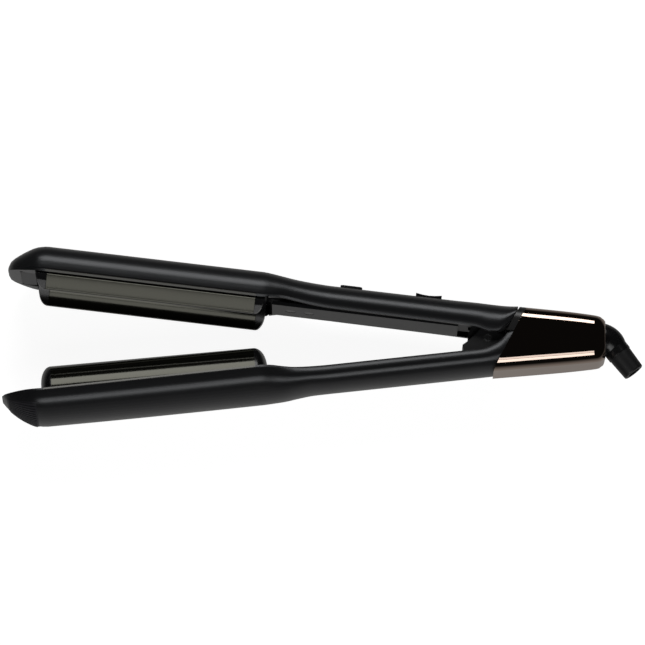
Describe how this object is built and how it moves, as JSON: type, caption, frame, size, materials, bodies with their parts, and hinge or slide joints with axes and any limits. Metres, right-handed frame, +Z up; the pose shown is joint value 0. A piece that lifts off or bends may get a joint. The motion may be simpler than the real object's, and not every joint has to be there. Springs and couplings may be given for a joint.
{
  "type": "hair waver",
  "caption": "Hinged hair waver lying open on its side, with a round heated bar, a matching heated channel, slim handles, a mirror rear cap and a swivelling cord elbow.",
  "frame": {"origin": "centre of the bottom of the box around the whole tool, as it lies on its side", "axes": "+X along the tool from the tips to the cord elbow, +Y across the opening towards the upper arm, +Z up, along the hinge pin"},
  "size_m": [0.3114, 0.0851, 0.043],
  "materials": {
    "graphite_plastic": "satin graphite",
    "dark_plastic": "satin",
    "grip_rubber": "ribbed, matte",
    "plate_coating": "glossy ceramic coating",
    "black_plastic": "semi-gloss",
    "carrier_plastic": "heat-proof, matte",
    "bare_aluminium": "as extruded",
    "heater_ceramic": "unglazed",
    "steel": "zinc plated",
    "frame_plastic": "moulded",
    "collar_gloss": "polished",
    "bronze_mirror": "mirror, grey bronze",
    "ring_gloss": "polished",
    "laminate_brown": "laminate",
    "terminal_plastic": "moulded",
    "bush_brass": "turned",
    "board_green": "solder mask",
    "button_plastic": "satin",
    "sleeve_rubber": "smooth"
  },
  "bodies": {
    "lower_arm": {"lower_outer_shell": "graphite_plastic", "lower_inner_cover": "dark_plastic", "lower_tip_insert": "dark_plastic", "lower_tip_grip": "grip_rubber", "lower_wave_bar": "plate_coating", "lower_front_end_cap": "black_plastic", "lower_rear_end_cap": "black_plastic", "lower_plate_carrier": "carrier_plastic", "lower_heat_spreader": "bare_aluminium", "lower_heater": "heater_ceramic", "lower_heater_clamp": "steel", "lower_arm_screws": "steel", "rear_chassis": "frame_plastic", "rear_collar": "collar_gloss", "bronze_cap": "bronze_mirror", "cap_end_ring": "ring_gloss", "hinge_pin": "steel", "torsion_spring": "steel", "swivel_socket": "black_plastic", "slip_ring_plate": "laminate_brown", "chassis_screws": "steel", "mains_terminal_block": "terminal_plastic"},
    "upper_arm": {"upper_outer_shell": "graphite_plastic", "upper_inner_cover": "dark_plastic", "upper_tip_insert": "dark_plastic", "upper_wave_channel": "plate_coating", "upper_front_end_cap": "black_plastic", "upper_rear_end_cap": "black_plastic", "upper_plate_carrier": "carrier_plastic", "upper_heater": "heater_ceramic", "upper_heater_clamp": "steel", "upper_arm_screws": "steel", "upper_hinge_frame": "frame_plastic", "hinge_bushes": "bush_brass", "control_board": "board_green", "tact_switches": "black_plastic", "button_spring": "steel", "thermal_fuse": "steel", "rocker_cradle": "frame_plastic", "rocker_pin": "steel"},
    "power_key": {"power_button": "button_plastic"},
    "temperature_key": {"temperature_rocker": "black_plastic"},
    "cord_swivel": {"swivel_elbow": "black_plastic", "swivel_retainer": "steel", "slip_rings": "bush_brass", "cord_sleeve": "sleeve_rubber"}
  },
  "joints": [
    {"name": "jaw", "type": "hinge", "parent": "lower_arm", "child": "upper_arm", "pos_m": [0.08007, -0.00205, 0.0215], "axis": [0, 0, 1], "range_deg": [0, 13.1], "stiffness_Nm_per_rad": 0.6, "springref_deg": -20.05},
    {"name": "power_press", "type": "slide", "parent": "upper_arm", "child": "power_key", "axis": [-0.1201, -0.9928, 0], "range_m": [0, 0.0008], "stiffness_N_per_m": 1200, "springref_m": -0.0005, "deforming": ["button_spring"]},
    {"name": "temperature_rock", "type": "hinge", "parent": "upper_arm", "child": "temperature_key", "pos_m": [0.05101, 0.01416, 0.0215], "axis": [0, 0, 1], "range_deg": [-4, 4], "stiffness_Nm_per_rad": 0.05},
    {"name": "cord_turn", "type": "hinge", "parent": "lower_arm", "child": "cord_swivel", "pos_m": [0.137, -0.00115, 0.0215], "axis": [1, 0, 0], "continuous": true}
  ]
}
